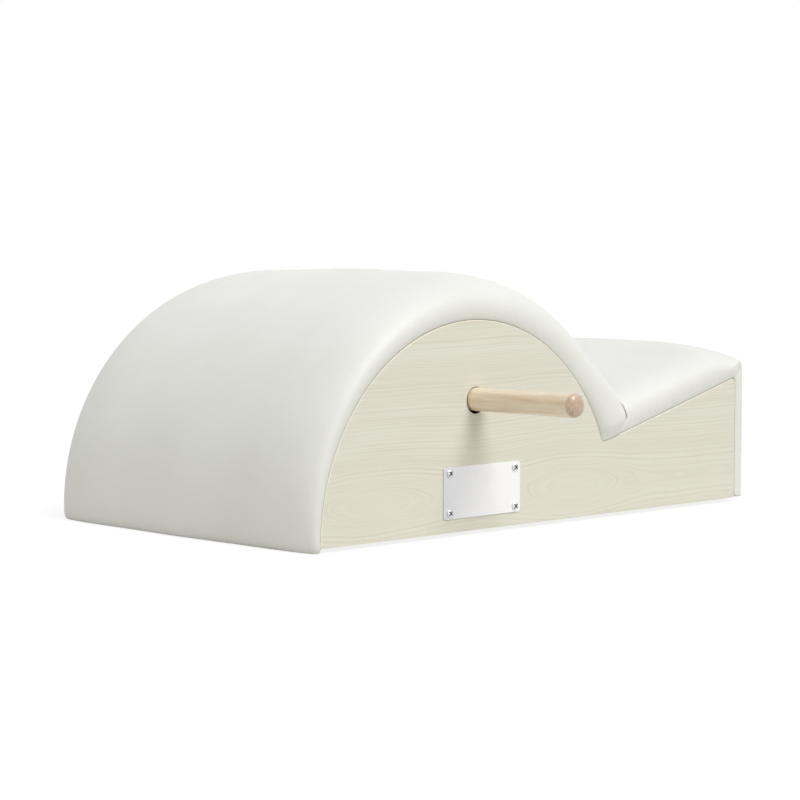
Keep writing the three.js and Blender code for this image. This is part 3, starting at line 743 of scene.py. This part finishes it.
def leather_material():
    """White pebbled leather, with painted shade next to the seams and in the crease."""
    material, tree, surface = new_material("white_leather")
    vector = spot(tree)[0]
    tone = speckle(tree, vector, TONE_FINENESS, detail=4)
    colour = mix_colour(tree, fade(tree, tone, 0.3, 0.75), LEATHER, LEATHER_SHADE)
    # Painted shade: the broad shade, then the dark shadow line, next to the seams
    for mark, darker in (("painted_near_seam_shade", PAINTED_NEAR_SEAM_SHADE), ("seam", PAINTED_SEAM_SHADOW)):
        share = put(tree, "Attribute", attribute_name=mark).outputs["Fac"]
        colour = mix_colour(tree, share, colour, darker)
    cells = {"Vector": vector, "Scale": PEBBLE_FINENESS, "Randomness": 0.9}
    pebbles = put(tree, "TexVoronoi", cells, feature="SMOOTH_F1").outputs["Distance"]
    pores = speckle(tree, vector, PORE_FINENESS, detail=2)
    drape = speckle(tree, vector, DRAPE_FINENESS, detail=3, roughness=0.45)
    grain = bump(tree, pebbles, *PEBBLE_RELIEF)
    grain = bump(tree, pores, *PORE_RELIEF, grain)
    grain = bump(tree, drape, *DRAPE_RELIEF, grain)
    shine = speckle(tree, vector, SHINE_FINENESS, detail=4)
    rough = fade(tree, shine, 0.3, 0.75, *LEATHER_GLOSS)
    feed(tree, surface, Base_Color=colour, Roughness=rough, Normal=grain, Specular_IOR_Level=0.28)
    return material


# Laminate: long ovals low on the board, repeated along it, and nearly straight lines above

LAMINATE = (0.77, 0.755, 0.65, 1)
LAMINATE_LINE = (0.67, 0.595, 0.475, 1)
LAMINATE_PALE = (0.795, 0.79, 0.705, 1)
# The edge band's cream, painted lighter as a highlight along the rounded edges
EDGE_BAND_AND_HIGHLIGHT = (0.93, 0.88, 0.74, 1)
LAMINATE_FACE = 0.95
FIGURE_HEIGHT = 0.053
FIGURE_CENTRE = -0.321
FIGURE_PERIOD = 0.38
FIGURE_WIDTH = 0.03
FIGURE_LAST_TURN = 1.5 * math.pi
FIGURE_WANDER, WANDER_FINENESS = 0.018, (2.6, 1, 6)
FIGURE_SHAKE, SHAKE_FINENESS = 0.002, (18, 1, 60)
LINES_PER_METRE = 340
BANDS_PER_METRE = 28
LINE_ROUGHNESS = 0.6
LINE_STRENGTH = 0.7
LINE_FADE_FINENESS = (7, 1, 40)
CALM_REACH, CALM_LINES = 0.036, 0.15
FIBRE_FINENESS, FIBRE_RELIEF = (14, 60, 900), (0.0002, 0.15)
LAMINATE_GLOSS = (0.42, 0.56)

# The handle holes' walls, painted dark as painted shade inside the holes
HOLE_PAINTED_SHADE = (0.035, 0.025, 0.015, 1)
HOLE_DROP = 0.0015
HOLE_REACH = 0.0182
HOLE_WALL = 0.8


def figure_rings(tree, vector, x, z):
    """A ring number for each place on the board: how far it lies from the nearest oval's line."""
    wander = speckle(tree, vector, WANDER_FINENESS, detail=2)
    wander = calc(tree, "MULTIPLY_ADD", wander, FIGURE_WANDER, -FIGURE_WANDER / 2)
    height = calc(tree, "ADD", calc(tree, "SUBTRACT", z, FIGURE_HEIGHT), wander)
    along = calc(tree, "SUBTRACT", x, FIGURE_CENTRE)
    turn = calc(tree, "MULTIPLY", along, math.pi / FIGURE_PERIOD)
    turn = calc(tree, "MINIMUM", turn, FIGURE_LAST_TURN)
    depth = calc(tree, "MULTIPLY", calc(tree, "SINE", turn), FIGURE_WIDTH)
    return calc(tree, "SQRT", sum_of_squares(tree, height, depth))


def hole_wall(tree, x, z, square):
    """One on the walls of the handle holes, and zero elsewhere."""
    low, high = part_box("handle_front")
    across = calc(tree, "SUBTRACT", x, (low.x + high.x) / 2)
    up = calc(tree, "SUBTRACT", z, (low.z + high.z) / 2 - HOLE_DROP)
    near = calc(tree, "LESS_THAN", sum_of_squares(tree, across, up), HOLE_REACH**2)
    return calc(tree, "MULTIPLY", near, calc(tree, "LESS_THAN", square, HOLE_WALL))


def figure_lines(tree, vector, rings):
    """How strongly a grain line shows: less in patches, and least inside the ovals."""
    shake = speckle(tree, vector, SHAKE_FINENESS, detail=2)
    shaken = calc(tree, "MULTIPLY_ADD", shake, FIGURE_SHAKE, rings)
    lines = fade(tree, line_noise(tree, shaken, LINES_PER_METRE, detail=3), 0.46, 0.7)
    patches = fade(tree, speckle(tree, vector, LINE_FADE_FINENESS, detail=2), 0.3, 0.7, 0.2, 1)
    calm = way_along(tree, rings, 0, CALM_REACH, CALM_LINES)
    lines = calc(tree, "MULTIPLY", calc(tree, "MULTIPLY", lines, patches), calm)
    return calc(tree, "MULTIPLY", lines, LINE_STRENGTH)


def laminate_material():
    """Pale maple laminate, with a cream edge band painted light as a highlight on the rounded
    edges, and painted shade on the walls of the handle holes.
    """
    material, tree, surface = new_material("maple_laminate")
    vector, x, y, z = spot(tree)
    rings = figure_rings(tree, vector, x, z)
    bands = fade(tree, line_noise(tree, rings, BANDS_PER_METRE, detail=1), 0.3, 0.7)
    fibre = speckle(tree, vector, FIBRE_FINENESS, detail=3)
    colour = mix_colour(tree, bands, LAMINATE_PALE, LAMINATE)
    colour = mix_colour(tree, figure_lines(tree, vector, rings), colour, LAMINATE_LINE)
    colour = mix_colour(tree, fade(tree, fibre, 0.45, 0.8, 0, 0.3), colour, LAMINATE_LINE)
    square = squareness(tree, 1)
    # The edges get the edge band's cream, painted light as a highlight
    face = calc(tree, "GREATER_THAN", square, LAMINATE_FACE)
    colour = mix_colour(tree, face, EDGE_BAND_AND_HIGHLIGHT, colour)
    # Painted shade on the walls of the handle holes
    colour = mix_colour(tree, hole_wall(tree, x, z, square), colour, HOLE_PAINTED_SHADE)
    rough = fade(tree, fibre, 0.3, 0.8, *LAMINATE_GLOSS)
    relief = bump(tree, fibre, *FIBRE_RELIEF)
    feed(tree, surface, Base_Color=colour, Roughness=rough, Normal=relief, Specular_IOR_Level=0.35)
    return material


# Plywood

PLY_PALE = (0.70, 0.56, 0.36, 1)
PLY_DARK = (0.45, 0.31, 0.17, 1)
PLY_LAYER = 0.0015
PLY_EDGE = 0.7
PLY_LAYER_STRENGTH = 0.7
PLY_GRAIN_FINENESS = ((9, 160, 160), (9, 9, 160), (9, 160, 160))
PLY_RELIEF = (0.0004, 0.3)
PLY_GLOSS = (0.6, 0.78)


def plywood_material(name, axis):
    """Birch plywood whose layers are stacked along one axis, with long grain on its faces."""
    material, tree, surface = new_material(name)
    vector, *parts = spot(tree)
    layer = calc(tree, "PINGPONG", parts[axis], PLY_LAYER)
    layer = calc(tree, "MULTIPLY", layer, 1 / PLY_LAYER)
    edge = calc(tree, "LESS_THAN", squareness(tree, axis), PLY_EDGE)
    layers = calc(tree, "MULTIPLY", fade(tree, layer, 0.35, 0.65), edge)
    layers = calc(tree, "MULTIPLY", layers, PLY_LAYER_STRENGTH)
    grain = speckle(tree, vector, PLY_GRAIN_FINENESS[axis], detail=4)
    share = calc(tree, "ADD", layers, fade(tree, grain, 0.4, 0.75, 0, 0.35), clamp=True)
    colour = mix_colour(tree, share, PLY_PALE, PLY_DARK)
    rough = fade(tree, grain, 0.3, 0.8, *PLY_GLOSS)
    relief = bump(tree, grain, *PLY_RELIEF)
    feed(tree, surface, Base_Color=colour, Roughness=rough, Normal=relief)
    return material


# Beech

BEECH = (0.86, 0.75, 0.59, 1)
BEECH_DARK = (0.60, 0.42, 0.24, 1)
BEECH_TIP = (0.49, 0.335, 0.235, 1)
WAVE_FINENESS = (110, 7, 110)
FLECK_FINENESS, FLECK_RELIEF = (900, 70, 900), (0.0002, 0.12)
BEECH_GLOSS = (0.26, 0.36)
TIP_SPAN = (0.012, 0.008)
MOTTLE_FINENESS = 210


def beech_material(name, tip_at=None):
    """Varnished beech with its grain along Y, and mottled darker end grain where a tip is given."""
    material, tree, surface = new_material(name)
    vector, x, y, z = spot(tree)
    waves = speckle(tree, vector, WAVE_FINENESS, detail=4, distortion=0.6)
    fleck = speckle(tree, vector, FLECK_FINENESS, detail=2)
    colour = mix_colour(tree, fade(tree, waves, 0.35, 0.75, 0, 0.8), BEECH, BEECH_DARK)
    colour = mix_colour(tree, fade(tree, fleck, 0.55, 0.8, 0, 0.4), colour, BEECH_DARK)
    if tip_at is not None:
        starts, full = (tip_at - before for before in TIP_SPAN)
        near_tip = way_along(tree, calc(tree, "ABSOLUTE", y), starts, full)
        mottle = speckle(tree, vector, MOTTLE_FINENESS, detail=3, distortion=1.5)
        near_tip = calc(tree, "MULTIPLY", near_tip, fade(tree, mottle, 0.35, 0.65, 0.5, 1))
        colour = mix_colour(tree, near_tip, colour, BEECH_TIP)
    rough = fade(tree, waves, 0.3, 0.8, *BEECH_GLOSS)
    relief = bump(tree, fleck, *FLECK_RELIEF)
    feed(tree, surface, Base_Color=colour, Roughness=rough, Normal=relief)
    feed(tree, surface, Coat_Weight=0.5, Coat_Roughness=0.12)
    return material


# Nameplate

# A painted reflection runs from grey at the plate's left end to white, mottled by clouds
PLATE_GREY = (0.70, 0.705, 0.73, 1)
PLATE_PAINTED_REFLECTION = (0.97, 0.97, 0.97, 1)
PAINTED_REFLECTION_FROM = 0.7
CLOUD_FINENESS, CLOUD = (18, 1, 18), 0.3
BRUSH_FINENESS, BRUSH_RELIEF = (60, 1, 2600), (0.0001, 0.1)
PLATE_GLOSS = (0.32, 0.42)


def plate_material():
    """Brushed aluminium with a painted reflection: greyer at its left end and white to the right,
    like a soft reflection of the room.
    """
    material, tree, surface = new_material("brushed_aluminium")
    vector, x, y, z = spot(tree)
    low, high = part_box("nameplate")
    across = way_along(tree, x, low.x, lerp(low.x, high.x, PAINTED_REFLECTION_FROM))
    cloud = speckle(tree, vector, CLOUD_FINENESS, detail=2)
    cloud = calc(tree, "MULTIPLY_ADD", cloud, CLOUD, -CLOUD / 2)
    across = calc(tree, "ADD", across, cloud, clamp=True)
    brushed = speckle(tree, vector, BRUSH_FINENESS, detail=3)
    # The painted reflection, from grey to white along the plate
    colour = mix_colour(tree, across, PLATE_GREY, PLATE_PAINTED_REFLECTION)
    colour = mix_colour(tree, fade(tree, brushed, 0.4, 0.8, 0, 0.25), colour, PLATE_GREY)
    rough = fade(tree, brushed, 0.3, 0.8, *PLATE_GLOSS)
    relief = bump(tree, brushed, *BRUSH_RELIEF)
    feed(tree, surface, Base_Color=colour, Metallic=0.35, Roughness=rough, Normal=relief)
    return material


# Screws

STEEL = (0.78, 0.78, 0.79, 1)
STEEL_DULL = (0.62, 0.62, 0.63, 1)
SCRATCH_FINENESS, SCRATCH_RELIEF = (700, 700, 2400), (0.0001, 0.1)
STEEL_GLOSS = (0.24, 0.4)
# Painted shade in the cross recess of the plate screws
SLOT_PAINTED_SHADE = 0.015
SLOT_HALF = 0.0009
SLOT_REACH = 0.0044


def from_pair(tree, value, middle, offset):
    """How far a value lies from the nearer of two places, one on each side of a middle."""
    beside = calc(tree, "ABSOLUTE", calc(tree, "SUBTRACT", value, middle))
    return calc(tree, "ABSOLUTE", calc(tree, "SUBTRACT", beside, offset))


def in_slot(tree, x, z):
    """One inside the diagonal cross of the nearest plate screw, and zero elsewhere."""
    plate_low, plate_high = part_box("nameplate")
    screw_low, screw_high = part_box("plate_screw_1")
    middle = (plate_low + plate_high) / 2
    screw = (screw_low + screw_high) / 2
    across = from_pair(tree, x, middle.x, abs(screw.x - middle.x))
    up = from_pair(tree, z, middle.z, abs(screw.z - middle.z))
    apart = calc(tree, "ABSOLUTE", calc(tree, "SUBTRACT", across, up))
    narrow = calc(tree, "LESS_THAN", apart, SLOT_HALF * math.sqrt(2))
    near = calc(tree, "LESS_THAN", calc(tree, "ADD", across, up), SLOT_REACH * math.sqrt(2))
    return calc(tree, "MULTIPLY", narrow, near)


def steel_material(name, slots=False):
    """Bright steel; with slots, the cross in each plate screw's head is painted dark, as painted
    shade in the recess.
    """
    material, tree, surface = new_material(name)
    vector, x, y, z = spot(tree)
    scratches = speckle(tree, vector, SCRATCH_FINENESS, detail=3)
    colour = mix_colour(tree, fade(tree, scratches, 0.35, 0.8), STEEL, STEEL_DULL)
    if slots:
        # Painted shade in the screw's cross recess
        colour = mix_colour(tree, in_slot(tree, x, z), colour, grey(SLOT_PAINTED_SHADE))
    rough = fade(tree, scratches, 0.3, 0.8, *STEEL_GLOSS)
    relief = bump(tree, scratches, *SCRATCH_RELIEF)
    feed(tree, surface, Base_Color=colour, Metallic=0.9, Roughness=rough, Normal=relief)
    return material


# Feet

RUBBER = (0.022, 0.022, 0.024, 1)
RUBBER_DUST = (0.06, 0.058, 0.055, 1)
DUST_FINENESS, DUST_RELIEF = 240, (0.0004, 0.3)
RUBBER_GLOSS = (0.7, 0.9)


def rubber_material():
    material, tree, surface = new_material("black_rubber")
    vector = spot(tree)[0]
    dust = speckle(tree, vector, DUST_FINENESS, detail=4)
    colour = mix_colour(tree, fade(tree, dust, 0.4, 0.8), RUBBER, RUBBER_DUST)
    rough = fade(tree, dust, 0.3, 0.8, *RUBBER_GLOSS)
    relief = bump(tree, dust, *DUST_RELIEF)
    feed(tree, surface, Base_Color=colour, Roughness=rough, Normal=relief)
    return material


# Painting


def paint(obj, material):
    obj.data.materials.clear()
    obj.data.materials.append(material)


def assign(node, material):
    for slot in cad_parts[node].material_slots:
        slot.material = material


def paint_nodes():
    """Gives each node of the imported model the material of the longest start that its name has."""
    laminate = laminate_material()
    ply_y = plywood_material("plywood_upright", 1)
    ply_z = plywood_material("plywood_flat", 2)
    ply_x = plywood_material("plywood_end", 0)
    steel, cross_head = steel_material("steel"), steel_material("cross_head_steel", slots=True)
    starts = {
        "side_panel": laminate,
        "side_frame": ply_y,
        "centre_rib": ply_y,
        "valley_batten": ply_z,
        "crown_batten": ply_z,
        "arch_deck": ply_z,
        "ramp_deck": ply_z,
        "base_board": ply_z,
        "arch_foot_rail": ply_x,
        "end_board": ply_x,
        "handle_socket": beech_material("beech_block"),
        "nameplate": plate_material(),
        "plate_screw": cross_head,
        "panel_screw": steel,
        "foot_screw": steel,
        "foot_": rubber_material(),
    }
    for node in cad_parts:
        found = [start for start in starts if node.startswith(start)]
        if found:
            assign(node, starts[max(found, key=len)])


# Light, floor and camera

CAMERA_AT = (-2.3565, -2.3827, 0.3902)
CAMERA_YAW = 0.7957
CAMERA_PITCH = 0.0679
CAMERA_LENS = 102.72
CAMERA_SENSOR = 36
CAMERA_REACH = 100
KEY_FROM = Vector((0.05, -0.59, 0.81))
KEY_STRENGTH = 2.0
KEY_ANGLE = math.radians(38)
FILL_FROM = Vector((-1, 0, 0.25))
FILL_STRENGTH = 0.355
FILL_ANGLE = math.radians(60)
ROOM_LIGHT = 0.44
WHITE = 1
FLOOR_SIZE = 30
FLOOR_LEVEL = -0.0004
FLOOR = (0.665, 0.65, 0.595, 1)
FLOOR_SHADE = 0.2
FLOOR_WHITE = 1.05


def make_camera():
    """The camera at the photograph's viewing angle."""
    data = bpy.data.cameras.new("camera")
    data.lens, data.sensor_width = CAMERA_LENS, CAMERA_SENSOR
    data.clip_end = CAMERA_REACH
    camera = bpy.data.objects.new("camera", data)
    bpy.context.scene.collection.objects.link(camera)
    camera.location = CAMERA_AT
    level = math.cos(CAMERA_PITCH)
    ahead = Vector((
        math.cos(CAMERA_YAW) * level,
        math.sin(CAMERA_YAW) * level,
        -math.sin(CAMERA_PITCH),
    ))
    camera.rotation_euler = ahead.to_track_quat("-Z", "Y").to_euler()
    bpy.context.scene.camera = camera


def make_lamp(name, towards, strength, angle):
    """A broad, even lamp that shines from a direction."""
    lamp = bpy.data.lights.new(name, "SUN")
    lamp.energy = strength
    lamp.angle = angle
    made = bpy.data.objects.new(name, lamp)
    bpy.context.scene.collection.objects.link(made)
    made.rotation_euler = towards.to_track_quat("Z", "Y").to_euler()


def seen_by_eye(tree):
    """One for what the camera, metal and glass show, and zero for the light on the object."""
    paths = put(tree, "LightPath").outputs
    seen = calc(tree, "ADD", paths["Is Camera Ray"], paths["Is Glossy Ray"], clamp=True)
    return calc(tree, "ADD", seen, paths["Is Transmission Ray"], clamp=True)


def make_world():
    """A plain room light, behind a background that looks white."""
    world = bpy.data.worlds.new("studio")
    tree = cleared_tree(world)
    light = put(tree, "Background", {"Color": grey(1), "Strength": ROOM_LIGHT})
    white = put(tree, "Background", {"Color": grey(1), "Strength": WHITE})
    sides = {0: seen_by_eye(tree), 1: light.outputs[0], 2: white.outputs[0]}
    both = put(tree, "MixShader", sides)
    put(tree, "OutputWorld", {"Surface": both.outputs[0]})
    bpy.context.scene.world = world


def floor_material():
    """A pale floor that lights the object in its own colour, and looks white but for a shadow."""
    material = bpy.data.materials.new("pale_floor")
    tree = cleared_tree(material)
    matt = put(tree, "BsdfDiffuse", {"Color": FLOOR})
    pale = put(tree, "BsdfDiffuse", {"Color": grey(FLOOR_SHADE)})
    glow = put(tree, "Emission", {"Color": grey(1), "Strength": FLOOR_WHITE - FLOOR_SHADE})
    both = put(tree, "AddShader", {0: pale.outputs[0], 1: glow.outputs[0]})
    sides = {0: seen_by_eye(tree), 1: matt.outputs[0], 2: both.outputs[0]}
    shown = put(tree, "MixShader", sides)
    put(tree, "OutputMaterial", {"Surface": shown.outputs[0]})
    return material


def make_floor():
    half = FLOOR_SIZE / 2
    corners = [(-half, -half), (half, -half), (half, half), (-half, half)]
    places = [(x, y, FLOOR_LEVEL) for x, y in corners]
    floor = mesh_object("floor", places, [(0, 1, 2, 3)], smooth=False)
    paint(floor, floor_material())


# Assembly

pads = make_pads()
leather = leather_material()
for pad in pads:
    paint(pad, leather)
peg_wood = beech_material("varnished_beech", tip_at=(HANDLE_START + HANDLE_LENGTH) * MM)
for word, side in (("front", -1), ("back", 1)):
    paint(make_handle(word, side), peg_wood)
paint_nodes()

make_camera()
make_world()
make_lamp("key", KEY_FROM, KEY_STRENGTH, KEY_ANGLE)
make_lamp("side_fill", FILL_FROM, FILL_STRENGTH, FILL_ANGLE)
make_floor()
bpy.context.scene.view_settings.view_transform = "Standard"

bpy.context.view_layer.update()
